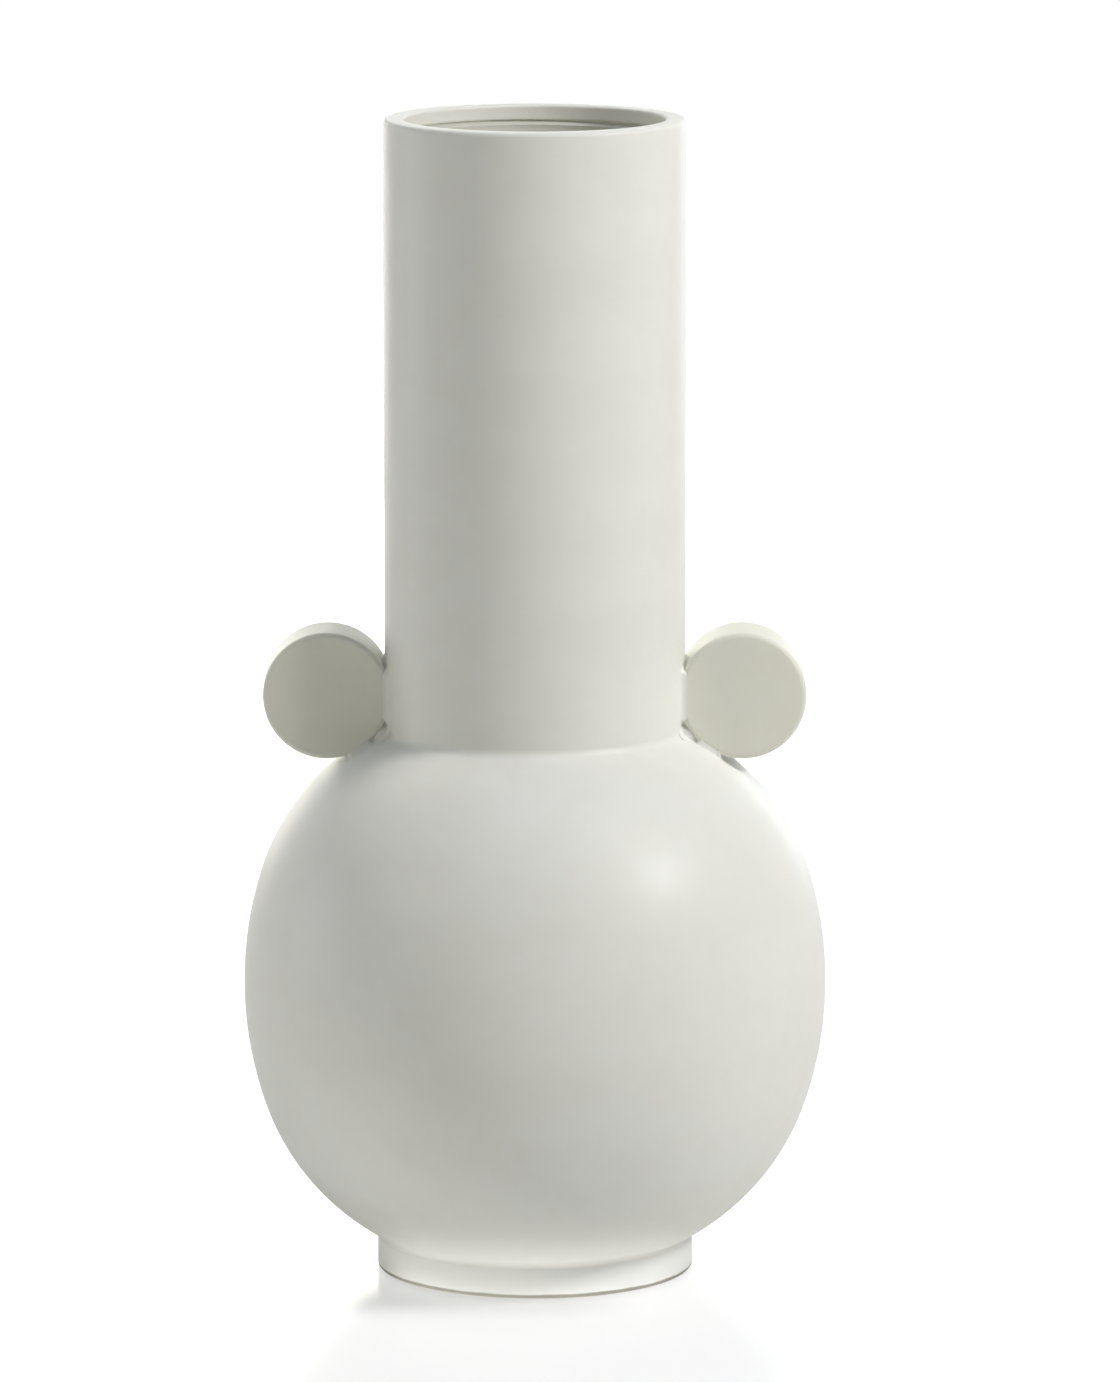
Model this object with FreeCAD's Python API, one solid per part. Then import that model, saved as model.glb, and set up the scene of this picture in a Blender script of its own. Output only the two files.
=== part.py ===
import FreeCAD, Part
import math
import os

# A bud vase of satin-glazed stoneware: a nearly spherical globe on a low foot
# ring, a tall cylindrical neck, and a thick disc luted to each side of the neck
# where it meets the shoulder. Every piece is formed on its own, and all are
# joined with slip while the clay is damp, then glazed and fired together.
#
# Frame: millimetres, +Z up, origin at the centre of the face the foot stands
# on. The two discs lie to the left (-X) and right (+X), and face -Y and +Y.

# Overall sizes
OVERALL_HEIGHT = 318.0
GLOBE_DIAMETER = 160.0
WALL = 5.5                      # thickness of the cast globe wall

# Globe outline: a wide arc round the equator, running into a tighter arc over
# the shoulder and another under the haunch. All three are tangent.
EQUATOR_HEIGHT = 79.9
EQUATOR_ARC = 102.0
SHOULDER_ARC = 65.0
HAUNCH_ARC = 66.8
SHOULDER_START = 17.25          # degrees above the equator
HAUNCH_START = 19.1             # degrees below the equator
BASE_HEIGHT = 4.0               # flat underside inside the foot ring
FLOOR_THICKNESS = 6.0

# Neck
NECK_RADIUS = 41.1
MOUTH_RADIUS = 35.6             # just inside the lip
BORE_RADIUS = 34.6              # below the ledge
LIP_OUTER_ROUND = 1.2
LIP_INNER_ROUND = 0.8
LEDGE_DEPTH = 4.6               # from the rim down to the ledge
LEDGE_SLOPE = 0.8               # height over which the wall steps in
GROOVE_DEPTH = 0.5              # shallow groove just above the ledge
GROOVE_HEIGHT = 0.6
GROOVE_BEVEL = 0.2
NECK_SEAT_DEPTH = 1.5           # how deep the seat is cut into the shoulder
SEAT_CLEARANCE = 0.5            # room for slip round the neck in its seat
OPENING_RADIUS = 35.4           # hole in the shoulder under the neck

# Foot ring
FOOT_RADIUS = 43.4
FOOT_WALL = 6.5
FOOT_EDGE_ROUND = 1.0

# Discs
DISC_RADIUS = 17.4
DISC_THICKNESS = 21.0
DISC_EDGE_ROUND = 1.4
DISC_REACH = 56.8               # from the vase's axis to the disc's axis
DISC_HEIGHT = 160.8

# Slip joints
SLIP_BED = 0.8                  # layer of slip under the neck and over the foot
NECK_SLIP = 1.4                 # leg of the fillet at the neck
FOOT_SLIP = 1.5                 # leg of the fillet at the foot
FILLET_HOLLOW = 0.6             # 1 is a straight chamfer, less is more hollow
DISC_SLIP = 1.4                 # width of the bead round a disc
SEAM_HEIGHT = 7.0               # ridge left inside along the equator
SEAM_THICKNESS = 1.0

# Centres of the three arcs of the globe's outline, as (radius, height)
EQUATOR_CENTRE = (GLOBE_DIAMETER / 2 - EQUATOR_ARC, EQUATOR_HEIGHT)
SHOULDER_CENTRE = (
    EQUATOR_CENTRE[0] + (EQUATOR_ARC - SHOULDER_ARC) * math.cos(math.radians(SHOULDER_START)),
    EQUATOR_HEIGHT + (EQUATOR_ARC - SHOULDER_ARC) * math.sin(math.radians(SHOULDER_START)),
)
HAUNCH_CENTRE = (
    EQUATOR_CENTRE[0] + (EQUATOR_ARC - HAUNCH_ARC) * math.cos(math.radians(HAUNCH_START)),
    EQUATOR_HEIGHT - (EQUATOR_ARC - HAUNCH_ARC) * math.sin(math.radians(HAUNCH_START)),
)

UP = FreeCAD.Vector(0, 0, 1)
ALONG_Y = FreeCAD.Vector(0, 1, 0)
ORIGIN = FreeCAD.Vector(0, 0, 0)


def at(radius, height):
    """A point of an outline, at this distance from the vase's axis."""
    return FreeCAD.Vector(radius, 0, height)


def line(start, end):
    return Part.LineSegment(start, end).toShape()


def arc(centre, radius, start, end):
    """Arc about a centre between two angles, in degrees up from level."""
    points = []
    for angle in (start, (start + end) / 2, end):
        turn = math.radians(angle)
        points.append(at(centre[0] + radius * math.cos(turn), centre[1] + radius * math.sin(turn)))
    return Part.Arc(*points).toShape()


def spin(edges):
    """Solid of revolution about the vase's axis from a closed outline."""
    return Part.Face(Part.Wire(edges)).revolve(ORIGIN, UP, 360)


def wiped_fillet(corner, start, end):
    """Hollow arc between two points beside a corner. It passes through a
    point on the way from the corner to the middle of the straight chamfer."""
    chamfer = (start + end) * 0.5
    return Part.Arc(start, corner + (chamfer - corner) * FILLET_HOLLOW, end).toShape()


def shoulder_height(radius):
    """Height of the globe's outer skin above the equator, at this radius."""
    return SHOULDER_CENTRE[1] + math.sqrt(SHOULDER_ARC**2 - (radius - SHOULDER_CENTRE[0]) ** 2)


def haunch_height(radius):
    """Height of the globe's outer skin below the equator, at this radius."""
    return HAUNCH_CENTRE[1] - math.sqrt(HAUNCH_ARC**2 - (radius - HAUNCH_CENTRE[0]) ** 2)


def globe_solid(inset, base_height):
    """The whole globe, closed at the top, with its skin moved in by inset."""
    haunch_radius = HAUNCH_ARC - inset
    base_angle = -math.degrees(math.asin((HAUNCH_CENTRE[1] - base_height) / haunch_radius))
    base_edge = HAUNCH_CENTRE[0] + haunch_radius * math.cos(math.radians(base_angle))
    crown = SHOULDER_CENTRE[1] + SHOULDER_ARC - inset
    return spin(
        [
            line(at(0, crown), at(SHOULDER_CENTRE[0], crown)),
            arc(SHOULDER_CENTRE, SHOULDER_ARC - inset, 90, SHOULDER_START),
            arc(EQUATOR_CENTRE, EQUATOR_ARC - inset, SHOULDER_START, -HAUNCH_START),
            arc(HAUNCH_CENTRE, haunch_radius, -HAUNCH_START, base_angle),
            line(at(base_edge, base_height), at(0, base_height)),
            line(at(0, base_height), at(0, crown)),
        ]
    )


def globe_wall():
    outside = globe_solid(0, BASE_HEIGHT)
    inside = globe_solid(WALL, BASE_HEIGHT + FLOOR_THICKNESS)
    return outside.cut(inside)


def neck_seat_height():
    return shoulder_height(NECK_RADIUS) - NECK_SEAT_DEPTH


def globe_upper_shell():
    """Upper half of the globe, with a rebated opening that the neck sits in."""
    above = Part.makeCylinder(GLOBE_DIAMETER, OVERALL_HEIGHT, at(0, EQUATOR_HEIGHT), UP)
    seat = at(0, neck_seat_height())
    rebate = Part.makeCylinder(NECK_RADIUS + SEAT_CLEARANCE, OVERALL_HEIGHT, seat, UP)
    opening = Part.makeCylinder(OPENING_RADIUS, OVERALL_HEIGHT, at(0, EQUATOR_HEIGHT), UP)
    return globe_wall().common(above).cut(rebate).cut(opening)


def globe_lower_shell():
    """Lower half of the globe, with its floor and flat base."""
    below = Part.makeCylinder(GLOBE_DIAMETER, EQUATOR_HEIGHT, ORIGIN, UP)
    return globe_wall().common(below)


def neck_tube():
    """Straight tube with a softened lip. Inside the mouth a shallow groove is
    turned above a small ledge, where the wall steps in."""
    seat = neck_seat_height() + SLIP_BED
    outer_round = (NECK_RADIUS - LIP_OUTER_ROUND, OVERALL_HEIGHT - LIP_OUTER_ROUND)
    inner_round = (MOUTH_RADIUS + LIP_INNER_ROUND, OVERALL_HEIGHT - LIP_INNER_ROUND)
    ledge = OVERALL_HEIGHT - LEDGE_DEPTH
    groove_top = at(MOUTH_RADIUS, ledge + GROOVE_HEIGHT)
    groove_back = at(MOUTH_RADIUS + GROOVE_DEPTH, ledge + GROOVE_HEIGHT - GROOVE_BEVEL)
    ledge_top = at(MOUTH_RADIUS + GROOVE_DEPTH, ledge)
    ledge_foot = at(BORE_RADIUS, ledge - LEDGE_SLOPE)
    return spin(
        [
            line(at(BORE_RADIUS, seat), at(NECK_RADIUS, seat)),
            line(at(NECK_RADIUS, seat), at(NECK_RADIUS, outer_round[1])),
            arc(outer_round, LIP_OUTER_ROUND, 0, 90),
            line(at(outer_round[0], OVERALL_HEIGHT), at(inner_round[0], OVERALL_HEIGHT)),
            arc(inner_round, LIP_INNER_ROUND, 90, 180),
            line(at(MOUTH_RADIUS, inner_round[1]), groove_top),
            line(groove_top, groove_back),
            line(groove_back, ledge_top),
            line(ledge_top, ledge_foot),
            line(ledge_foot, at(BORE_RADIUS, seat)),
        ]
    )


def foot_ring():
    """Low ring with softened edges, its top cut to the curve of the globe."""
    top = haunch_height(FOOT_RADIUS) + FOOT_WALL
    inner = FOOT_RADIUS - FOOT_WALL
    edge = FOOT_EDGE_ROUND
    ring = spin(
        [
            line(at(inner, top), at(inner, edge)),
            arc((inner + edge, edge), edge, 180, 270),
            line(at(inner + edge, 0), at(FOOT_RADIUS - edge, 0)),
            arc((FOOT_RADIUS - edge, edge), edge, 270, 360),
            line(at(FOOT_RADIUS, edge), at(FOOT_RADIUS, top)),
            line(at(FOOT_RADIUS, top), at(inner, top)),
        ]
    )
    return ring.cut(globe_solid(-SLIP_BED, BASE_HEIGHT))


def disc_blank(side, extra):
    """Disc before it is cut to the neck, grown by extra all round."""
    radius = DISC_RADIUS + extra
    half = DISC_THICKNESS / 2 + extra
    edge = DISC_EDGE_ROUND + extra
    flat = radius - edge
    straight = half - edge
    diagonal = edge * math.cos(math.radians(45))
    centre = FreeCAD.Vector(side * DISC_REACH, 0, DISC_HEIGHT)

    def point(out, along):
        return centre + FreeCAD.Vector(out, along, 0)

    front_edge = point(flat + diagonal, -straight - diagonal)
    back_edge = point(flat + diagonal, straight + diagonal)
    outline = [
        line(point(0, -half), point(flat, -half)),
        Part.Arc(point(flat, -half), front_edge, point(radius, -straight)).toShape(),
        line(point(radius, -straight), point(radius, straight)),
        Part.Arc(point(radius, straight), back_edge, point(flat, half)).toShape(),
        line(point(flat, half), point(0, half)),
        line(point(0, half), point(0, -half)),
    ]
    return Part.Face(Part.Wire(outline)).revolve(centre, ALONG_Y, 360)


def vase_body(extra):
    """Neck and globe as one solid, grown by extra, for cutting the discs."""
    height = OVERALL_HEIGHT - EQUATOR_HEIGHT
    neck = Part.makeCylinder(NECK_RADIUS + extra, height, at(0, EQUATOR_HEIGHT), UP)
    return neck.fuse(globe_solid(-extra, BASE_HEIGHT))


def disc_lug(side):
    """Thick disc, saddled to the neck and just touching the shoulder."""
    return disc_blank(side, 0).cut(vase_body(0))


def corner_fill(side):
    """Block over the hollow that neck, shoulder and disc leave between them,
    out to where the disc touches the shoulder."""
    across = DISC_REACH - SHOULDER_CENTRE[0]
    contact = SHOULDER_CENTRE[0] + SHOULDER_ARC * across / (SHOULDER_ARC + DISC_RADIUS)
    half = DISC_THICKNESS / 2 - DISC_EDGE_ROUND
    start = FreeCAD.Vector(min(0, side * contact), -half, EQUATOR_HEIGHT)
    return Part.makeBox(contact, 2 * half, DISC_HEIGHT - EQUATOR_HEIGHT, start)


def disc_slip_joint(side):
    """Slip that fills the hollow behind the disc, and a bead of it wherever
    the disc comes close to the neck or shoulder."""
    bead = disc_blank(side, DISC_SLIP).common(vase_body(DISC_SLIP))
    slip = bead.fuse(corner_fill(side)).cut(vase_body(0))
    return slip.cut(disc_blank(side, 0)).cut(neck_slip_joint())


def neck_slip_joint():
    """Slip that beds the neck in its seat, and the small hollow fillet round it."""
    seat = neck_seat_height()
    bed_top = seat + SLIP_BED
    corner = at(NECK_RADIUS, shoulder_height(NECK_RADIUS))
    out = NECK_RADIUS + NECK_SLIP
    on_neck = corner + UP * NECK_SLIP
    on_globe = at(out, shoulder_height(out))
    ring = spin(
        [
            line(at(OPENING_RADIUS, seat), at(out, seat)),
            line(at(out, seat), on_globe),
            wiped_fillet(corner, on_globe, on_neck),
            line(on_neck, at(NECK_RADIUS, bed_top)),
            line(at(NECK_RADIUS, bed_top), at(OPENING_RADIUS, bed_top)),
            line(at(OPENING_RADIUS, bed_top), at(OPENING_RADIUS, seat)),
        ]
    )
    return ring.cut(globe_upper_shell())


def foot_slip_joint():
    """Slip that beds the foot ring to the globe, and the fillet outside it.
    The blank runs up to the foot of the fillet on the globe, and both pieces
    that it lies between are cut from it."""
    corner = at(FOOT_RADIUS, haunch_height(FOOT_RADIUS))
    inner = FOOT_RADIUS - FOOT_WALL
    out = FOOT_RADIUS + FOOT_SLIP
    on_foot = corner - UP * FOOT_SLIP
    on_globe = at(out, haunch_height(out))
    ring = spin(
        [
            line(at(inner, BASE_HEIGHT), at(FOOT_RADIUS, BASE_HEIGHT)),
            line(at(FOOT_RADIUS, BASE_HEIGHT), on_foot),
            wiped_fillet(corner, on_foot, on_globe),
            line(on_globe, at(inner, on_globe.z)),
            line(at(inner, on_globe.z), at(inner, BASE_HEIGHT)),
        ]
    )
    return ring.cut(globe_solid(0, BASE_HEIGHT)).cut(foot_ring())


def equator_slip_seam():
    """Low ridge of slip inside, where the two halves of the globe meet."""
    inside = EQUATOR_ARC - WALL
    drop = SEAM_HEIGHT / 2
    reach = math.degrees(math.asin(drop / inside))
    edge_radius = EQUATOR_CENTRE[0] + inside * math.cos(math.radians(reach))
    crest = at(GLOBE_DIAMETER / 2 - WALL - SEAM_THICKNESS, EQUATOR_HEIGHT)
    upper = at(edge_radius, EQUATOR_HEIGHT + drop)
    lower = at(edge_radius, EQUATOR_HEIGHT - drop)
    return spin(
        [
            arc(EQUATOR_CENTRE, inside, -reach, reach),
            Part.Arc(upper, crest, lower).toShape(),
        ]
    )


LEFT, RIGHT = -1, 1

PIECES = {
    "neck_tube": neck_tube(),
    "globe_upper_shell": globe_upper_shell(),
    "globe_lower_shell": globe_lower_shell(),
    "foot_ring": foot_ring(),
    "left_disc_lug": disc_lug(LEFT),
    "right_disc_lug": disc_lug(RIGHT),
    "neck_slip_joint": neck_slip_joint(),
    "foot_slip_joint": foot_slip_joint(),
    "left_lug_slip_joint": disc_slip_joint(LEFT),
    "right_lug_slip_joint": disc_slip_joint(RIGHT),
    "equator_slip_seam": equator_slip_seam(),
}

os.makedirs("parts", exist_ok=True)
for name, shape in PIECES.items():
    shape.exportStep(f"parts/{name}.step")
    box = shape.BoundBox
    print(
        f"{name:22s} valid {shape.isValid()} solids {len(shape.Solids)}"
        f" volume {shape.Volume / 1000:.2f} cm3"
        f" x {box.XMin:.2f} {box.XMax:.2f} z {box.ZMin:.2f} {box.ZMax:.2f}"
    )
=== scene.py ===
import math

import bmesh
import bpy
import numpy as np
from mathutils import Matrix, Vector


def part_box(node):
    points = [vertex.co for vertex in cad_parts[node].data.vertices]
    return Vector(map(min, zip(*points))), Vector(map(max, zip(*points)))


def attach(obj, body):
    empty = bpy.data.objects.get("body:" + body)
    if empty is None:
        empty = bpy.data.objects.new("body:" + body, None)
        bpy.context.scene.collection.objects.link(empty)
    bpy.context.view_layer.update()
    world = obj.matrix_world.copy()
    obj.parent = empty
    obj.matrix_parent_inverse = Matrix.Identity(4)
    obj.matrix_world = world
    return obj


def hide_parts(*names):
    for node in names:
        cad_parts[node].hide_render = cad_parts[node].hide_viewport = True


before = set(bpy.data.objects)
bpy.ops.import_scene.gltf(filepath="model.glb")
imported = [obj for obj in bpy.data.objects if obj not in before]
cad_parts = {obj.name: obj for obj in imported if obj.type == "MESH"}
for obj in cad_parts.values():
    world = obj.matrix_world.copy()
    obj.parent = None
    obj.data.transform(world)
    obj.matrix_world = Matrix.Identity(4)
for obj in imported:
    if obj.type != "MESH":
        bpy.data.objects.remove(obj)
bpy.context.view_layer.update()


# ---------------------------------------------------------------------------
# Lower half of the globe
# The bowl of the vase: slip-cast stoneware about 5.5 mm thick, with a flat
# base and a level floor. Its top edge is scored and luted to the upper half.

def arc_points(centre, radius, start, end, count):
    """Points on an arc: the centre plus the radius turned through angles that
    are spaced evenly from start to end, in degrees up from level."""
    turn = np.radians(np.linspace(start, end, count))
    return np.column_stack((centre[0] + radius * np.cos(turn), centre[1] + radius * np.sin(turn)))


def line_points(start, end, count):
    """Points spaced evenly on the straight line from start to end."""
    share = np.linspace(0, 1, count)[:, None]
    return (1 - share) * np.array(start) + share * np.array(end)


def joined(*stretches):
    """One outline from several stretches, dropping each repeated end point."""
    outline = np.vstack(stretches)
    step = np.linalg.norm(np.diff(outline, axis=0), axis=1)
    return outline[np.append(True, step > 1e-7)]


def clay_drift(angle, height):
    """How far the wall strays from a true circle, in metres: a slight oval
    that turns as it rises, a fainter three-sided swell, and shallow rings
    left where the form was trued up on a wheel."""
    oval = 4.5e-5 * np.cos(2 * angle + 5 * height + 0.6)
    swell = 2.5e-5 * np.cos(3 * angle - 11 * height + 1.9)
    rings = 2.2e-5 * np.sin(250 * height + 0.9 * np.sin(95 * height)) * np.sin(47 * height + 1.1)
    return oval + swell + rings


def mesh_piece(name, points, faces, material):
    """A named object from arrays of points and faces. Edges that turn through
    more than 40 degrees stay crisp and the rest is smooth."""
    mesh = bpy.data.meshes.new(name)
    mesh.from_pydata(points.reshape(-1, 3).tolist(), [], faces)
    mesh.shade_smooth()
    mesh.set_sharp_from_angle(angle=math.radians(40))
    mesh.materials.append(material)
    piece = bpy.data.objects.new(name, mesh)
    bpy.context.scene.collection.objects.link(piece)
    return piece


def grid_faces(rows, columns, first=0, closed=False):
    """Four-sided faces between neighbouring rows of a grid whose columns run
    all the way round. A closed grid also joins its last row to its first."""
    row = np.arange(rows if closed else rows - 1)[:, None]
    column = np.arange(columns)[None, :]
    here = first + row * columns
    above = first + (row + 1) % rows * columns
    after = (column + 1) % columns
    corners = (here + column, here + after, above + after, above + column)
    return np.stack(np.broadcast_arrays(*corners), axis=-1).reshape(-1, 4).tolist()


def pole_fans(rows, columns):
    """Triangles that close the first and the last row of an open grid, each
    round a single point. The two points come right after the grid's own."""
    column = np.arange(columns)
    after = (column + 1) % columns
    last = (rows - 1) * columns
    start, end = np.full(columns, rows * columns), np.full(columns, rows * columns + 1)
    fan = np.column_stack((start, after, column)).tolist()
    return fan + np.column_stack((last + column, last + after, end)).tolist()


def turned(name, outline, material, columns=320):
    """Surface of revolution. Each outline point, a radius and a height, is
    carried round the vase's axis, and its radius strays by clay_drift. The
    outline runs up the outside and down the inside. One that starts and ends
    on the axis is closed there by a fan of triangles round a single point."""
    on_axis = outline[0, 0] < 1e-9
    rim = outline[1:-1] if on_axis else outline[:-1]
    angle = np.linspace(0, 2 * np.pi, columns, endpoint=False)[None, :]
    radius, height = rim[:, :1], rim[:, 1:]
    stray = clay_drift(angle, height) * np.clip(radius / 0.02, 0, 1)
    x = (radius + stray) * np.cos(angle)
    y = (radius + stray) * np.sin(angle)
    points = np.stack((x, y, np.broadcast_to(height, x.shape)), axis=-1).reshape(-1, 3)
    faces = grid_faces(len(rim), columns, closed=not on_axis)
    if on_axis:
        points = np.vstack((points, [[0, 0, outline[0, 1]], [0, 0, outline[-1, 1]]]))
        faces += pole_fans(len(rim), columns)
    return mesh_piece(name, points, faces, material)


def node_adder(material):
    """Clears a material and returns add(kind, inputs, settings), which adds a
    shader node, sets its named inputs or links them where an output is given,
    and hands the node back."""
    material.use_nodes = True
    tree = material.node_tree
    tree.nodes.clear()

    def add(kind, inputs=None, **settings):
        node = tree.nodes.new(kind)
        for key, value in settings.items():
            setattr(node, key, value)
        for key, value in (inputs or {}).items():
            if isinstance(value, bpy.types.NodeSocket):
                tree.links.new(value, node.inputs[key])
            else:
                node.inputs[key].default_value = value
        return node

    return add


def math_node(add, operation, first, second=0.0, third=0.0):
    """Output of one sum on shader values."""
    inputs = {0: first, 1: second, 2: third}
    return add("ShaderNodeMath", inputs, operation=operation).outputs[0]


def noise(add, place, scale, detail=2.0):
    """Even grey noise between 0 and 1, at this many swells to the metre."""
    return add("ShaderNodeTexNoise", {"Vector": place, "Scale": scale, "Detail": detail}).outputs["Fac"]


def eased(add, value, start, end, low=0.0, high=1.0):
    """Value moved smoothly from low to high as it goes from start to end."""
    limits = {"Value": value, "From Min": start, "From Max": end, "To Min": low, "To Max": high}
    return add("ShaderNodeMapRange", limits, interpolation_type="SMOOTHSTEP").outputs["Result"]


def mixed(add, share, first, second):
    """Colour that goes from first to second as the share goes from 0 to 1."""
    inputs = {"Factor": share, 6: first, 7: second}
    return add("ShaderNodeMix", inputs, data_type="RGBA").outputs[2]


def glaze_coat(add, place, thick, thin):
    """Colour and height of the fired glaze. The coat drifts between thicker
    and thinner in clouds 3 cm across with a finer mottle, and in faint level
    bands where the piece was turned as it was sprayed. Its skin has an orange
    peel 3 mm across, a finer grain, and a rare pinhole with a warmer dot."""
    cloud = noise(add, place, 34.0, 3.0)
    mottle = noise(add, place, 190.0, 4.0)
    level = add("ShaderNodeVectorMath", {0: place, 1: (5.0, 5.0, 62.0)}, operation="MULTIPLY").outputs[0]
    bands = noise(add, level, 1.0, 1.5)
    drift = math_node(add, "MULTIPLY", cloud, 0.40)
    drift = math_node(add, "MULTIPLY_ADD", mottle, 0.25, drift)
    drift = math_node(add, "MULTIPLY_ADD", bands, 0.35, drift)
    coat = mixed(add, eased(add, drift, 0.38, 0.62), (*thin, 1), (*thick, 1))
    cells = add("ShaderNodeTexVoronoi", {"Vector": place, "Scale": 150.0, "Randomness": 1.0})
    rare = add("ShaderNodeSeparateColor", {"Color": cells.outputs["Color"]}).outputs["Red"]
    chosen = math_node(add, "GREATER_THAN", rare, 0.955)
    pit = eased(add, cells.outputs["Distance"], 0.012, 0.034, 1.0, 0.0)
    pinhole = math_node(add, "MULTIPLY", pit, chosen)
    colour = mixed(add, math_node(add, "MULTIPLY", pinhole, 0.25), coat, (0.52, 0.47, 0.38, 1))
    height = math_node(add, "MULTIPLY", noise(add, place, 330.0), 1.4e-5)
    height = math_node(add, "MULTIPLY_ADD", noise(add, place, 1900.0), 2.0e-6, height)
    height = math_node(add, "MULTIPLY_ADD", pinhole, -3.0e-5, height)
    return colour, height, drift


def satin_shader(add, colour, height, roughness, gloss=0.24, gloss_roughness=0.33):
    """A nearly matt glaze under a thin gloss. The matt part scatters widely,
    and the gloss gives each lamp a small soft highlight."""
    bump = add("ShaderNodeBump", {"Height": height, "Distance": 1.0, "Strength": 1.0})
    inputs = {
        "Base Color": colour,
        "Roughness": roughness,
        "Normal": bump.outputs["Normal"],
        "IOR": 1.5,
        "Coat Weight": gloss,
        "Coat Roughness": gloss_roughness,
    }
    shader = add("ShaderNodeBsdfPrincipled", inputs)
    add("ShaderNodeOutputMaterial", {"Surface": shader.outputs["BSDF"]})


def satin_glaze(name, thick, thin, roughness, gloss=0.24, gloss_roughness=0.33):
    """Satin glaze, whose lustre varies a little with the coat."""
    material = bpy.data.materials.new(name)
    add = node_adder(material)
    place = add("ShaderNodeTexCoord").outputs["Object"]
    colour, height, drift = glaze_coat(add, place, thick, thin)
    lustre = eased(add, drift, 0.38, 0.62, roughness - 0.04, roughness + 0.04)
    satin_shader(add, colour, height, lustre, gloss, gloss_roughness)
    return material


GLAZE_THICK, GLAZE_THIN = (0.812, 0.812, 0.768), (0.788, 0.784, 0.734)
SATIN = 0.64
glaze = satin_glaze("satin_glaze", GLAZE_THICK, GLAZE_THIN, SATIN)

shell_low, shell_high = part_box("globe_lower_shell")
globe_radius = round(shell_high.x, 4)
equator_height = round(shell_high.z, 4)
base_height = round(shell_low.z, 4)
wall = 0.0055
floor_height = base_height + 0.006

# The globe's side is three arcs that run into each other without a corner:
# a wide one round the equator and a tighter one above it and below it.
EQUATOR_ARC, SHOULDER_ARC, HAUNCH_ARC = 0.102, 0.065, 0.0668
SHOULDER_START, HAUNCH_START = 17.25, 19.1
equator_centre = np.array([globe_radius - EQUATOR_ARC, equator_height])


def tangent_centre(radius, angle):
    """Centre of an arc that leaves the equator's arc at this angle."""
    turn = math.radians(angle)
    return equator_centre + (EQUATOR_ARC - radius) * np.array([math.cos(turn), math.sin(turn)])


shoulder_centre = tangent_centre(SHOULDER_ARC, SHOULDER_START)
haunch_centre = tangent_centre(HAUNCH_ARC, -HAUNCH_START)


def haunch_points(inset, level, count):
    """The arc under the equator, moved in by inset, rising from this level."""
    radius = HAUNCH_ARC - inset
    start = -math.degrees(math.asin((haunch_centre[1] - level) / radius))
    return arc_points(haunch_centre, radius, start, -HAUNCH_START, count)


def equator_points(inset, start, end, count):
    return arc_points(equator_centre, EQUATOR_ARC - inset, start, end, count)


outside = joined(haunch_points(0, base_height, 100), equator_points(0, -HAUNCH_START, 0, 70))
inside = joined(haunch_points(wall, floor_height, 60), equator_points(wall, -HAUNCH_START, 0, 40))
lower_outline = joined(
    line_points((0, base_height), outside[0], 16),
    outside,
    line_points(outside[-1], inside[-1], 6),
    inside[::-1],
    line_points(inside[0], (0, floor_height), 10),
)
globe_bowl = turned("globe_bowl", lower_outline, glaze)
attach(globe_bowl, "root")
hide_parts("globe_lower_shell")


# ---------------------------------------------------------------------------
# Foot ring
# A low stoneware ring luted under the globe. Its wall is glazed down to the
# softened lower edge, and the face it stands on is wiped back to bare clay.

foot_radius = round(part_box("foot_ring")[1].x, 4)
FOOT_WALL, FOOT_EDGE = 0.0065, 0.001
SLIP_BED = 0.0008
GLAZE_LINE = 0.0011
# Painted light: the foot's glaze is whiter than the body's, standing in for the extra light the foot gets
# near the floor.
FOOT_LIT_THICK, FOOT_LIT_THIN = (0.870, 0.875, 0.850), (0.850, 0.850, 0.820)
# The bare clay and the toasted edge are painted dark, partly as painted shade along the foot's lower edge
# where it meets the floor.
CLAY_DARK, CLAY_PALE, CLAY_SPECK = (0.28, 0.27, 0.23, 1), (0.36, 0.34, 0.29, 1), (0.22, 0.17, 0.12, 1)
TOASTED_EDGE_AND_SHADE = (0.24, 0.235, 0.18, 1)
BARE_CLAY = 0.92


def haunch_level(radius):
    """Height of the globe's skin under the equator, at this radius."""
    return haunch_centre[1] - math.sqrt(HAUNCH_ARC**2 - (radius - haunch_centre[0]) ** 2)


foot_inner = foot_radius - FOOT_WALL
under = -math.degrees(math.acos((foot_radius - haunch_centre[0]) / (HAUNCH_ARC + SLIP_BED)))
under_inner = -math.degrees(math.acos((foot_inner - haunch_centre[0]) / (HAUNCH_ARC + SLIP_BED)))
foot_top = arc_points(haunch_centre, HAUNCH_ARC + SLIP_BED, under, under_inner, 12)
foot_outline = joined(
    line_points(foot_top[-1], (foot_inner, FOOT_EDGE), 12),
    arc_points((foot_inner + FOOT_EDGE, FOOT_EDGE), FOOT_EDGE, 180, 270, 8),
    line_points((foot_inner + FOOT_EDGE, 0), (foot_radius - FOOT_EDGE, 0), 12),
    arc_points((foot_radius - FOOT_EDGE, FOOT_EDGE), FOOT_EDGE, 270, 360, 10),
    line_points((foot_radius, FOOT_EDGE), foot_top[0], 30),
    foot_top,
)


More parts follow.
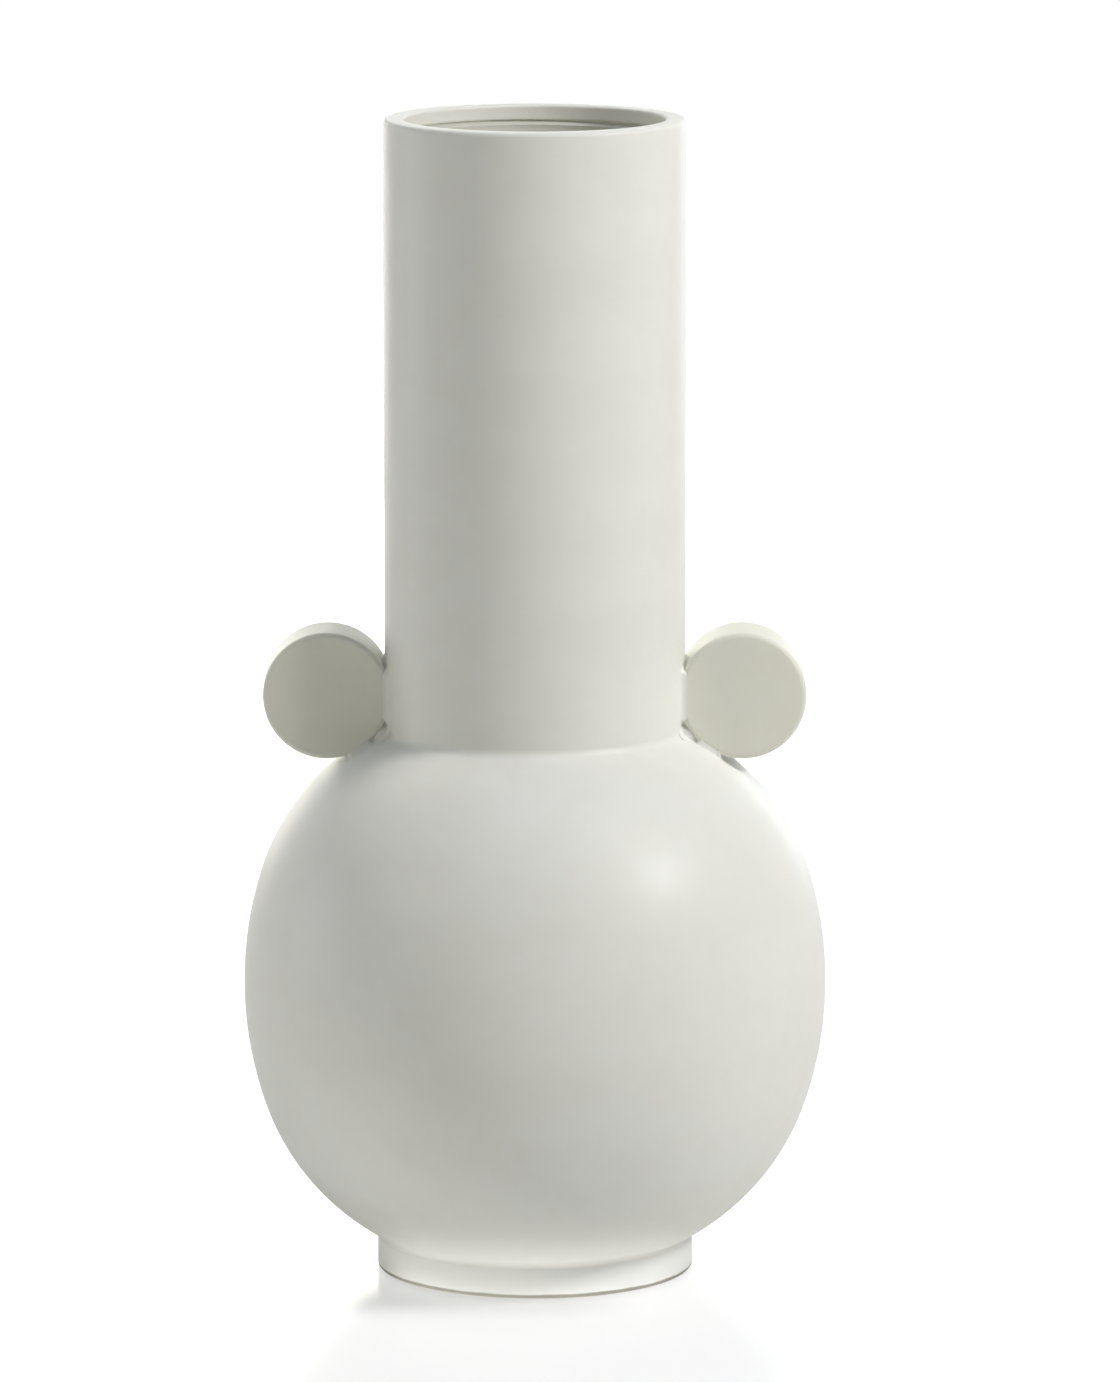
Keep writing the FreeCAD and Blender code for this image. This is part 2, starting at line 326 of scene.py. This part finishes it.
def wiped_foot_glaze():
    """The glaze, whiter than on the body as painted light for the brighter foot,
    down to an uneven line just above the standing face. Below the line is bare
    brown clay, rough and speckled, with a thin toasted edge where the glaze
    stops; clay and edge are painted dark, partly as painted shade where the
    foot meets the floor."""
    material = bpy.data.materials.new("foot_glaze")
    add = node_adder(material)
    place = add("ShaderNodeTexCoord").outputs["Object"]
    colour, height, drift = glaze_coat(add, place, FOOT_LIT_THICK, FOOT_LIT_THIN)
    level = add("ShaderNodeSeparateXYZ", {"Vector": place}).outputs["Z"]
    level = math_node(add, "MULTIPLY_ADD", noise(add, place, 120.0, 3.0), 5e-4, level)
    glazed = eased(add, level, GLAZE_LINE, GLAZE_LINE + 1.5e-4)
    toasted_and_shaded = eased(add, level, GLAZE_LINE, GLAZE_LINE + 6e-4)
    specks = eased(add, noise(add, place, 2600.0, 1.0), 0.62, 0.70)
    clay = mixed(add, noise(add, place, 300.0, 4.0), CLAY_DARK, CLAY_PALE)
    clay = mixed(add, math_node(add, "MULTIPLY", specks, 0.5), clay, CLAY_SPECK)
    edge = mixed(add, toasted_and_shaded, TOASTED_EDGE_AND_SHADE, colour)
    colour = mixed(add, glazed, clay, edge)
    grit = math_node(add, "MULTIPLY", noise(add, place, 1500.0, 3.0), 2.5e-5)
    bare = math_node(add, "SUBTRACT", 1.0, glazed)
    height = math_node(add, "MULTIPLY_ADD", glazed, 6e-5, height)
    height = math_node(add, "MULTIPLY_ADD", grit, bare, height)
    lustre = eased(add, glazed, 0.0, 1.0, BARE_CLAY, SATIN)
    satin_shader(add, colour, height, lustre)
    return material


foot_glaze = wiped_foot_glaze()
foot = turned("foot", foot_outline, foot_glaze)
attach(foot, "root")
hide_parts("foot_ring")


# ---------------------------------------------------------------------------
# Slip fillet round the foot
# Casting slip that beds the ring under the globe. What squeezes out is wiped
# with a wet finger, so it is hollow in section, and the glaze covers it.

FILLET_HOLLOW = 0.6
FOOT_SLIP = 0.0015


def wiped_curve(corner, first, second, count=10):
    """Curve of a wiped fillet, from one wall to the other. Its middle lies on
    the way from the corner to the middle of the straight chamfer, and a share
    of 1 would make it straight."""
    corner, first, second = np.array(corner), np.array(first), np.array(second)
    share = np.linspace(0, 1, count)[:, None]
    pull = corner + (FILLET_HOLLOW - 0.5) * (first + second - 2 * corner)
    return (1 - share) ** 2 * first + 2 * share * (1 - share) * pull + share**2 * second


slip_glaze = satin_glaze("slip_glaze", GLAZE_THICK, GLAZE_THIN, 0.55, gloss=0.28)
slip_reach = foot_radius + FOOT_SLIP
foot_corner = (foot_radius, haunch_level(foot_radius))
fillet_foot = (foot_radius, foot_corner[1] - FOOT_SLIP)
skin_start = -math.degrees(math.acos((slip_reach - haunch_centre[0]) / HAUNCH_ARC))
skin_end = -math.degrees(math.acos((foot_inner - haunch_centre[0]) / HAUNCH_ARC))
skin = arc_points(haunch_centre, HAUNCH_ARC, skin_start, skin_end, 16)
foot_fillet_outline = joined(
    foot_top[::-1],
    line_points(foot_top[0], fillet_foot, 2),
    wiped_curve(foot_corner, fillet_foot, skin[0]),
    skin,
    line_points(skin[-1], foot_top[-1], 2),
)
foot_fillet = turned("foot_slip_fillet", foot_fillet_outline, slip_glaze)
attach(foot_fillet, "root")
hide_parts("foot_slip_joint")


# ---------------------------------------------------------------------------
# Upper half of the globe
# The shoulder, cast like the bowl, with a round opening cut in its top. A
# shallow rebate round the opening seats the neck.

neck_low, neck_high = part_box("neck_tube")
neck_radius = round(neck_high.x, 4)
seat_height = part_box("neck_slip_joint")[0].z
OPENING_RADIUS = 0.0354
SEAT_RADIUS = neck_radius + 0.0005


def shoulder_level(radius, inset=0.0):
    """Height of the globe's skin over the equator, at this radius."""
    across = radius - shoulder_centre[0]
    return shoulder_centre[1] + math.sqrt((SHOULDER_ARC - inset) ** 2 - across**2)


def shoulder_points(inset, radius, count):
    """The arc over the equator, moved in by inset, up to this radius."""
    end = math.degrees(math.acos((radius - shoulder_centre[0]) / (SHOULDER_ARC - inset)))
    return arc_points(shoulder_centre, SHOULDER_ARC - inset, SHOULDER_START, end, count)


outside = joined(equator_points(0, 0, SHOULDER_START, 64), shoulder_points(0, SEAT_RADIUS, 110))
inside = joined(
    equator_points(wall, 0, SHOULDER_START, 36),
    shoulder_points(wall, OPENING_RADIUS, 60),
)
upper_outline = joined(
    outside,
    line_points(outside[-1], (SEAT_RADIUS, seat_height), 3),
    line_points((SEAT_RADIUS, seat_height), (OPENING_RADIUS, seat_height), 6),
    line_points((OPENING_RADIUS, seat_height), inside[-1], 3),
    inside[::-1],
    line_points(inside[0], outside[0], 6),
)
globe_shoulder = turned("globe_shoulder", upper_outline, glaze)
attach(globe_shoulder, "root")
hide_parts("globe_upper_shell")


# ---------------------------------------------------------------------------
# Slip seam inside the equator
# Where the two halves meet, slip squeezes out and is left as a low ridge on
# the inside, because no tool reaches it through the neck.

seam_low, seam_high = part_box("equator_slip_seam")
seam_drop = (seam_high.z - seam_low.z) / 2
SEAM_THICKNESS = 0.001
reach = math.degrees(math.asin(seam_drop / (EQUATOR_ARC - wall)))
behind = equator_points(wall, -reach, reach, 12)
crest = np.array([globe_radius - wall - 2 * SEAM_THICKNESS, equator_height])
share = np.linspace(0, 1, 14)[:, None]
ridge = (1 - share) ** 2 * behind[-1] + 2 * share * (1 - share) * crest + share**2 * behind[0]
liner_slip = satin_glaze("liner_slip", (0.78, 0.76, 0.69), (0.73, 0.70, 0.62), 0.85, gloss=0.03)
slip_seam = turned("equator_slip_ridge", joined(behind, ridge), liner_slip, columns=240)
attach(slip_seam, "root")
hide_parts("equator_slip_seam")


# ---------------------------------------------------------------------------
# Neck
# A straight cast tube with a flat, softened lip. A few millimetres inside the
# mouth a groove is turned over a small ledge, and the glaze there is painted
# dark as the shade in the groove. The tube's foot sits on a bed of slip.

rim_height = round(neck_high.z, 4)
neck_foot = neck_low.z
MOUTH_RADIUS, BORE_RADIUS = 0.0356, 0.0346
LIP_OUTER, LIP_INNER = 0.0012, 0.0008
LEDGE_DEPTH, LEDGE_SLOPE = 0.0046, 0.0008
GROOVE_DEPTH, GROOVE_HEIGHT, GROOVE_BEVEL = 0.0005, 0.0006, 0.0002
# Painted shade: a dark colour over the ledge stands in for the shade in the groove above it.
LEDGE_PAINTED_SHADE, LEDGE_SHADE_SHARE = (0.34, 0.32, 0.25, 1), 0.4
ledge_height = rim_height - LEDGE_DEPTH
groove_top = (MOUTH_RADIUS, ledge_height + GROOVE_HEIGHT)
groove_back = (MOUTH_RADIUS + GROOVE_DEPTH, ledge_height + GROOVE_HEIGHT - GROOVE_BEVEL)
ledge_top = (MOUTH_RADIUS + GROOVE_DEPTH, ledge_height)
ledge_foot = (BORE_RADIUS, ledge_height - LEDGE_SLOPE)
neck_outline = joined(
    line_points((neck_radius, neck_foot), (neck_radius, rim_height - LIP_OUTER), 200),
    arc_points((neck_radius - LIP_OUTER, rim_height - LIP_OUTER), LIP_OUTER, 0, 90, 14),
    arc_points((MOUTH_RADIUS + LIP_INNER, rim_height - LIP_INNER), LIP_INNER, 90, 180, 12),
    line_points((MOUTH_RADIUS, rim_height - LIP_INNER), groove_top, 8),
    line_points(groove_top, groove_back, 4),
    line_points(groove_back, ledge_top, 3),
    line_points(ledge_top, ledge_foot, 6),
    line_points(ledge_foot, (BORE_RADIUS, neck_foot), 60),
    line_points((BORE_RADIUS, neck_foot), (neck_radius, neck_foot), 5),
)


def ledge_glaze_with_painted_shade():
    """The body glaze, and a share of a dark colour over the ledge: painted
    shade that stands in for the shade in the groove. It lies within the
    mouth's radius, from the groove to just under the ledge, and fades out
    above and below."""
    material = bpy.data.materials.new("neck_glaze")
    add = node_adder(material)
    place = add("ShaderNodeTexCoord").outputs["Object"]
    colour, height, drift = glaze_coat(add, place, GLAZE_THICK, GLAZE_THIN)
    level = add("ShaderNodeSeparateXYZ", {"Vector": place}).outputs["Z"]
    flat = add("ShaderNodeVectorMath", {0: place, 1: (1.0, 1.0, 0.0)}, operation="MULTIPLY").outputs[0]
    radius = add("ShaderNodeVectorMath", {0: flat}, operation="LENGTH").outputs["Value"]
    over = eased(add, level, ledge_height - 4 * LEDGE_SLOPE, ledge_height - LEDGE_SLOPE)
    under = eased(add, level, ledge_height + GROOVE_HEIGHT, ledge_height + 2 * GROOVE_HEIGHT, 1.0, 0.0)
    inside = math_node(add, "LESS_THAN", radius, MOUTH_RADIUS + 2 * GROOVE_DEPTH)
    painted_shade_band = math_node(add, "MULTIPLY", math_node(add, "MULTIPLY", over, under), inside)
    colour = mixed(add, math_node(add, "MULTIPLY", painted_shade_band, LEDGE_SHADE_SHARE), colour, LEDGE_PAINTED_SHADE)
    lustre = eased(add, drift, 0.38, 0.62, SATIN - 0.04, SATIN + 0.04)
    satin_shader(add, colour, height, lustre)
    return material


neck = turned("neck", neck_outline, ledge_glaze_with_painted_shade(), columns=300)
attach(neck, "root")
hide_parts("neck_tube")


# ---------------------------------------------------------------------------
# Slip fillet round the neck
# The same slip as at the foot. It beds the neck in the shoulder's rebate,
# fills the gap round it, and is wiped hollow in the corner above.

NECK_SLIP = 0.0014
slip_reach = neck_radius + NECK_SLIP
neck_corner = (neck_radius, shoulder_level(neck_radius))
fillet_top = (neck_radius, neck_corner[1] + NECK_SLIP)
skin = shoulder_points(0, SEAT_RADIUS, 110)
skin = np.vstack((skin[skin[:, 0] < slip_reach][::-1], (slip_reach, shoulder_level(slip_reach))))
neck_fillet_outline = joined(
    line_points((OPENING_RADIUS, seat_height), (SEAT_RADIUS, seat_height), 6),
    line_points((SEAT_RADIUS, seat_height), skin[0], 3),
    skin,
    wiped_curve(neck_corner, skin[-1], fillet_top),
    line_points(fillet_top, (neck_radius, neck_foot), 3),
    line_points((neck_radius, neck_foot), (OPENING_RADIUS, neck_foot), 6),
    line_points((OPENING_RADIUS, neck_foot), (OPENING_RADIUS, seat_height), 2),
)
neck_fillet = turned("neck_slip_fillet", neck_fillet_outline, slip_glaze)
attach(neck_fillet, "root")
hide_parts("neck_slip_joint")


# ---------------------------------------------------------------------------
# Disc lugs
# Two thick round discs of the same clay stand on edge in the corner between
# neck and shoulder. Each is pared to the neck and only kisses the shoulder,
# and its glaze is a shade yellower than the body's.

lug_low, lug_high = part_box("right_disc_lug")
DISC_RADIUS = 0.0174
DISC_EDGE = 0.0014
DISC_THICK, DISC_THIN = (0.812, 0.806, 0.712), (0.788, 0.778, 0.680)
disc_half = round((lug_high.y - lug_low.y) / 2, 4)
disc_reach = round(lug_high.x - DISC_RADIUS, 4)
disc_height = round(lug_high.z - DISC_RADIUS, 4)


def disc_surface(side, columns=300):
    """Closed surface of a disc. Its section, from the middle of one round
    face over the softened edge to the middle of the other, is carried round
    the disc's own axis, and is cut short wherever it would enter the neck."""
    flat, straight = DISC_RADIUS - DISC_EDGE, disc_half - DISC_EDGE
    section = joined(
        line_points((0, -disc_half), (flat, -disc_half), 30),
        arc_points((flat, -straight), DISC_EDGE, -90, 0, 12),
        line_points((DISC_RADIUS, -straight), (DISC_RADIUS, straight), 44),
        arc_points((flat, straight), DISC_EDGE, 0, 90, 12),
        line_points((flat, disc_half), (0, disc_half), 30),
    )
    angle = np.linspace(0, 2 * np.pi, columns, endpoint=False)[None, :]
    out, along = section[1:-1, :1], section[1:-1, 1:]
    towards = np.maximum(np.cos(angle), 1e-3)
    to_neck = (disc_reach - np.sqrt(neck_radius**2 - along**2)) / towards
    out = np.minimum(out, to_neck)
    x = side * (disc_reach - out * np.cos(angle))
    z = disc_height + side * out * np.sin(angle)
    points = np.stack((x, np.broadcast_to(along, x.shape), z), axis=-1).reshape(-1, 3)
    poles = [[side * disc_reach, end, disc_height] for end in (-disc_half, disc_half)]
    rows = len(section) - 2
    return np.vstack((points, poles)), grid_faces(rows, columns) + pole_fans(rows, columns)


disc_glaze = satin_glaze("disc_glaze", DISC_THICK, DISC_THIN, SATIN)
for side, word in ((-1, "left"), (1, "right")):
    points, faces = disc_surface(side)
    disc = mesh_piece(f"{word}_disc", points, faces, disc_glaze)
    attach(disc, "root")
    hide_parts(f"{word}_disc_lug")


# ---------------------------------------------------------------------------
# Slip round the discs
# Each disc is pressed into a pad of wet slip, which fills the hollow between
# neck, shoulder and disc. What squeezes out is wiped to a small hollow bead.

DISC_BEAD, DISC_CORNER = 0.002, 0.0003
FILL_RADIUS, FILL_END, FILL_SHARE = 0.0023, 0.0010, 0.6
SLIP_TOP, SLIP_RUNOUT = 0.0118, 0.0015
SINK = 0.00003


def blend(first, second, reach):
    """Smooth union of two distances: the smaller of them, lowered by a small
    parabola wherever they differ by less than the reach."""
    near = np.maximum(reach - np.abs(first - second), 0)
    return np.minimum(first, second) - near**2 / (4 * reach)


def disc_distance(x, y, z):
    """Distance outside a disc that has nearly sharp edges, so that the slip
    also fills the true disc's rounded edge: how far the point is past a core,
    radially and along, as one length, less the corner's radius."""
    out = np.hypot(x - disc_reach, z - disc_height) - (DISC_RADIUS - DISC_CORNER)
    along = np.abs(y) - (disc_half - DISC_CORNER)
    inside = np.minimum(np.maximum(out, along), 0)
    return np.hypot(np.maximum(out, 0), np.maximum(along, 0)) + inside - DISC_CORNER


def body_distance(x, y, z):
    """Distance outside neck and shoulder, blended by the slip between them."""
    radius = np.hypot(x, y)
    off_shoulder = np.hypot(radius - shoulder_centre[0], z - shoulder_centre[1]) - SHOULDER_ARC
    return blend(radius - neck_radius, off_shoulder, 2 * NECK_SLIP)


def fill_distance(x, y, z):
    """Distance outside the slip in the hollow: a round bar along the disc,
    set between neck, shoulder and disc, with its ends just behind the faces."""
    off_axis = np.hypot(x - fill_centre[0], z - fill_centre[1])
    past_end = np.maximum(np.abs(y) - (disc_half - FILL_END - FILL_RADIUS), 0)
    return np.hypot(off_axis, past_end) - FILL_RADIUS


hollow_corner = np.array([neck_radius, shoulder_level(neck_radius)])
to_disc = np.array([disc_reach, disc_height]) - hollow_corner
hollow_gap = np.linalg.norm(to_disc) - DISC_RADIUS
fill_centre = hollow_corner + to_disc / np.linalg.norm(to_disc) * hollow_gap * FILL_SHARE


def slip_patch(side, rows=170, columns=230, steps=90):
    """Slip under one disc, as a skin over neck and shoulder. Rows run down
    the neck and out along the shoulder, and columns run across, from front
    to back. From each point of the body a ray towards the disc's axis ends
    where it leaves the smooth union of body, disc and fill, or just inside
    the disc. The underside is the same grid, sunk a little into the body.
    The patch goes SLIP_TOP above the disc's middle, and SLIP_RUNOUT past it
    along the shoulder."""
    down = np.linspace(disc_height + SLIP_TOP, hollow_corner[1], rows // 2)
    out = np.linspace(neck_radius, disc_reach + SLIP_RUNOUT, rows - rows // 2 + 1)[1:]
    y = (np.linspace(-1, 1, columns) * (disc_half + 1.05 * DISC_BEAD))[None, :]
    ring = np.concatenate((np.full(len(down), neck_radius), out))[:, None]
    x = np.sqrt(ring**2 - y**2 * (ring <= neck_radius))
    radius = np.hypot(x, y)
    level = shoulder_centre[1] + np.sqrt(SHOULDER_ARC**2 - (radius - shoulder_centre[0]) ** 2)
    z = np.where(ring <= neck_radius, np.concatenate((down, out))[:, None], level)
    y = np.broadcast_to(y, x.shape)
    towards = np.stack((disc_reach - x, disc_height - z), axis=-1)
    length = np.linalg.norm(towards, axis=-1)
    towards /= length[..., None]
    rounded = np.clip(np.abs(y) - (disc_half - DISC_EDGE), 0, DISC_EDGE)
    reach_in = DISC_RADIUS - DISC_EDGE + np.sqrt(DISC_EDGE**2 - rounded**2)
    limit = np.maximum(length - reach_in, 0) + 3 * SINK
    limit = np.where(np.abs(y) > disc_half, np.maximum(limit, 1.5 * DISC_BEAD), limit)
    height = np.zeros_like(x)
    open_yet = np.zeros(x.shape, dtype=bool)
    for share in np.linspace(0, 1, steps)[1:]:
        reach = share * limit
        at_x, at_z = x + reach * towards[..., 0], z + reach * towards[..., 1]
        union = blend(body_distance(at_x, y, at_z), disc_distance(at_x, y, at_z), DISC_BEAD)
        union = blend(union, fill_distance(at_x, y, at_z), DISC_BEAD)
        open_yet |= union > 0
        height = np.where(open_yet, height, reach)
    height = height - 2 * SINK
    top = np.stack((side * (x + height * towards[..., 0]), y, z + height * towards[..., 1]), axis=-1)
    deep = 6 * SINK
    base = np.stack((side * (x - deep * towards[..., 0]), y, z - deep * towards[..., 1]), axis=-1)
    return top, base


def disc_slip(name, side):
    """The patch's two skins, sewn together round their edge."""
    top, base = slip_patch(side)
    rows, columns = top.shape[:2]
    index = np.arange(rows * columns).reshape(rows, columns)
    corners = (index[:-1, :-1], index[:-1, 1:], index[1:, 1:], index[1:, :-1])
    quads = np.stack(corners, axis=-1).reshape(-1, 4)
    edge = np.concatenate((index[0, :-1], index[:-1, -1], index[-1, :0:-1], index[:0:-1, 0]))
    after = np.roll(edge, -1)
    sides = np.column_stack((edge, after, after + rows * columns, edge + rows * columns))
    faces = np.vstack((quads, quads[:, ::-1] + rows * columns, sides)).tolist()
    piece = mesh_piece(name, np.concatenate((top, base)), faces, slip_glaze)
    shape = bmesh.new()
    shape.from_mesh(piece.data)
    bmesh.ops.recalc_face_normals(shape, faces=shape.faces)
    shape.to_mesh(piece.data)
    shape.free()
    return piece


for side, word in ((-1, "left"), (1, "right")):
    slip = disc_slip(f"{word}_disc_slip", side)
    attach(slip, "root")
    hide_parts(f"{word}_lug_slip_joint")


# ---------------------------------------------------------------------------
# Floor
# A wide sheet of pale, slightly glossy card in front of a white wall. Its look
# is simplified to nearly even white, and it also glows where it lights the vase.

CARD_WHITE = 0.87
POOL_GLOW, POOL_CENTRE, POOL_INNER, POOL_OUTER = 0.17, (0.0, 0.33, 0.0), 0.23, 0.36
FOOT_GLOW, FOOT_GLOW_INNER, FOOT_GLOW_OUTER = 1.2, 0.049, 0.056
FRONT_CENTRE, FRONT_INNER, FRONT_OUTER = (0.0, -0.12, 0.0), 0.10, 0.17
STRIP_LEFT, STRIP_RIGHT = 1.0, 0.5
LIT_FRONT, LIT_ELSEWHERE = 0.585, 0.86
SHADOW_SHARE = (0.35, 0.35, 0.355, 1)
CONTACT_SHADE = 0.14
GLOSS_SHARE, GLOSS_ROUGHNESS = 0.13, 0.15
WALL_GLOW = 1.1
FLOOR_REACH, WALL_DISTANCE, WALL_HEIGHT = 9, 5, 4


def card_material():
    """What lights the vase is white card that glows in a pool behind the foot
    and in a strip in front of it, stronger on the left. What the eye sees of
    the card is mostly even white, with a weak reflection, a share of the real
    shading, and a painted shade at the front left of the foot."""
    material = bpy.data.materials.new("pale_card")
    add = node_adder(material)
    place = add("ShaderNodeTexCoord").outputs["Object"]
    split = add("ShaderNodeSeparateXYZ", {"Vector": place}).outputs

    def distance(centre):
        return add("ShaderNodeVectorMath", {0: place, 1: centre}, operation="DISTANCE").outputs["Value"]

    pool = eased(add, distance(POOL_CENTRE), POOL_INNER, POOL_OUTER, POOL_GLOW, 0.0)
    strip = eased(add, distance((0, 0, 0)), FOOT_GLOW_INNER, FOOT_GLOW_OUTER, FOOT_GLOW, 0.0)
    strip = math_node(add, "MULTIPLY", strip, eased(add, split["Y"], -0.035, -0.010, 1.0, 0.0))
    strip = math_node(add, "MULTIPLY", strip, eased(add, split["X"], -0.02, 0.045, STRIP_LEFT, STRIP_RIGHT))
    card = add("ShaderNodeBsdfDiffuse", {"Color": (CARD_WHITE, CARD_WHITE, CARD_WHITE, 1)})
    glow = add("ShaderNodeEmission", {"Strength": math_node(add, "ADD", pool, strip)})
    lighting = add("ShaderNodeAddShader", {0: card.outputs[0], 1: glow.outputs[0]})
    shade = add("ShaderNodeBsdfDiffuse", {"Color": SHADOW_SHARE})
    lit = eased(add, distance(FRONT_CENTRE), FRONT_INNER, FRONT_OUTER, LIT_FRONT, LIT_ELSEWHERE)
    contact = eased(add, split["Y"], -0.047, -0.070, CONTACT_SHADE, 0.0)
    for axis, start, end in (("Y", -0.03, 0.0), ("X", 0.004, 0.034), ("X", -0.050, -0.090)):
        fade = eased(add, split[axis], start, end, 1.0, 0.0)
        contact = math_node(add, "MULTIPLY", contact, fade)
    even = add("ShaderNodeEmission", {"Strength": math_node(add, "SUBTRACT", lit, contact)})
    gloss_colour = (GLOSS_SHARE, GLOSS_SHARE, GLOSS_SHARE, 1)
    gloss = add("ShaderNodeBsdfGlossy", {"Color": gloss_colour, "Roughness": GLOSS_ROUGHNESS})
    seen = add("ShaderNodeAddShader", {0: shade.outputs[0], 1: even.outputs[0]})
    seen = add("ShaderNodeAddShader", {0: seen.outputs[0], 1: gloss.outputs[0]})
    camera_ray = add("ShaderNodeLightPath").outputs["Is Camera Ray"]
    mix = add("ShaderNodeMixShader", {0: camera_ray, 1: lighting.outputs[0], 2: seen.outputs[0]})
    add("ShaderNodeOutputMaterial", {"Surface": mix.outputs[0]})
    return material


def wall_material():
    """A white wall that glows by itself."""
    material = bpy.data.materials.new("white_wall")
    add = node_adder(material)
    light = add("ShaderNodeEmission", {"Strength": WALL_GLOW})
    add("ShaderNodeOutputMaterial", {"Surface": light.outputs[0]})
    return material


def sheet(name, corners, material):
    """A flat four-sided sheet of the set."""
    mesh = bpy.data.meshes.new(name)
    mesh.from_pydata(corners, [], [(0, 1, 2, 3)])
    mesh.materials.append(material)
    piece = bpy.data.objects.new(name, mesh)
    bpy.context.scene.collection.objects.link(piece)
    return piece


edge = FLOOR_REACH
floor_corners = [(-edge, -edge, 0), (edge, -edge, 0), (edge, edge, 0), (-edge, edge, 0)]
sheet("floor", floor_corners, card_material())
foot_line = [(-edge, WALL_DISTANCE, 0), (edge, WALL_DISTANCE, 0)]
head_line = [(edge, WALL_DISTANCE, WALL_HEIGHT), (-edge, WALL_DISTANCE, WALL_HEIGHT)]
wall_sheet = sheet("wall", foot_line + head_line, wall_material())
wall_sheet.visible_diffuse = False
wall_sheet.visible_shadow = False


# ---------------------------------------------------------------------------
# Light
# A small soft key high on the right, weaker lamps to the left, over and behind
# the vase, and low lamps behind that edge it with white.

STAND_DISTANCE = 1.5
AIM = np.array([0, 0, 0.16])


def softbox(name, azimuth, elevation, width, height, power, tint):
    """Soft lamp on a sphere round the vase, facing it, its sheet unseen.
    Azimuth 0 is in front and 90 is to the right, elevation is up from level,
    both in degrees."""
    turn, lift = math.radians(azimuth), math.radians(elevation)
    away = np.array([math.cos(lift) * math.sin(turn), -math.cos(lift) * math.cos(turn), math.sin(lift)])
    lamp = bpy.data.lights.new(name, "AREA")
    lamp.shape = "RECTANGLE"
    lamp.size, lamp.size_y = width, height
    lamp.energy = power
    lamp.color = tint
    stand = bpy.data.objects.new(name, lamp)
    stand.location = AIM + STAND_DISTANCE * away
    stand.rotation_euler = (math.radians(90 - elevation), 0, turn)
    stand.visible_camera = False
    bpy.context.scene.collection.objects.link(stand)


softbox("key", 63.4, 35, 0.3, 0.3, 13.9, (1.0, 0.99, 0.98))
softbox("key_above", 63.4, 60, 0.5, 0.5, 4.0, (1.0, 0.97, 0.81))
softbox("left_fill", -58, 25, 0.35, 0.35, 2.6, (1.0, 0.97, 0.80))
softbox("left_fill_low", -58, 5, 0.45, 0.45, 1.6, (0.95, 0.98, 0.90))
softbox("left_side", -102, 5, 0.45, 0.45, 2.8, (0.88, 0.90, 1.0))
softbox("left_behind", -130, 48, 0.45, 0.45, 2.7, (1.0, 0.97, 0.86))
softbox("behind", 180, 45, 0.8, 0.8, 3.3, (0.98, 1.0, 0.88))
softbox("top", 0, 80, 0.8, 0.8, 3.5, (0.55, 0.68, 1.0))
softbox("rim_left", -155, 4, 0.4, 0.5, 2.5, (1.0, 0.98, 0.9))
softbox("rim_middle", -170, 4, 0.4, 0.5, 2.2, (1.0, 0.97, 0.85))
softbox("rim_right", 155, 4, 0.4, 0.5, 2.3, (0.82, 0.90, 1.0))

world = bpy.data.worlds.new("studio")
add = node_adder(world)
white = add("ShaderNodeLightPath").outputs["Is Camera Ray"]
surroundings = add("ShaderNodeBackground", {"Color": (1, 1, 1, 1), "Strength": white})
add("ShaderNodeOutputWorld", {"Surface": surroundings.outputs[0]})
bpy.context.scene.world = world
bpy.context.scene.view_settings.view_transform = "Standard"


# ---------------------------------------------------------------------------
# Camera
# Level with a point above the rim and looking down on the vase by nearly ten
# degrees, from far enough off to flatten it.

LENS, LOOK_DOWN = 223.7, 9.584
camera_data = bpy.data.cameras.new("camera")
camera_data.lens = LENS
camera_data.sensor_width = 36
camera = bpy.data.objects.new("camera", camera_data)
camera.location = (0.0069, -2.3196, 0.5522)
camera.rotation_euler = (math.radians(90 - LOOK_DOWN), 0, 0)
bpy.context.scene.collection.objects.link(camera)
bpy.context.scene.camera = camera
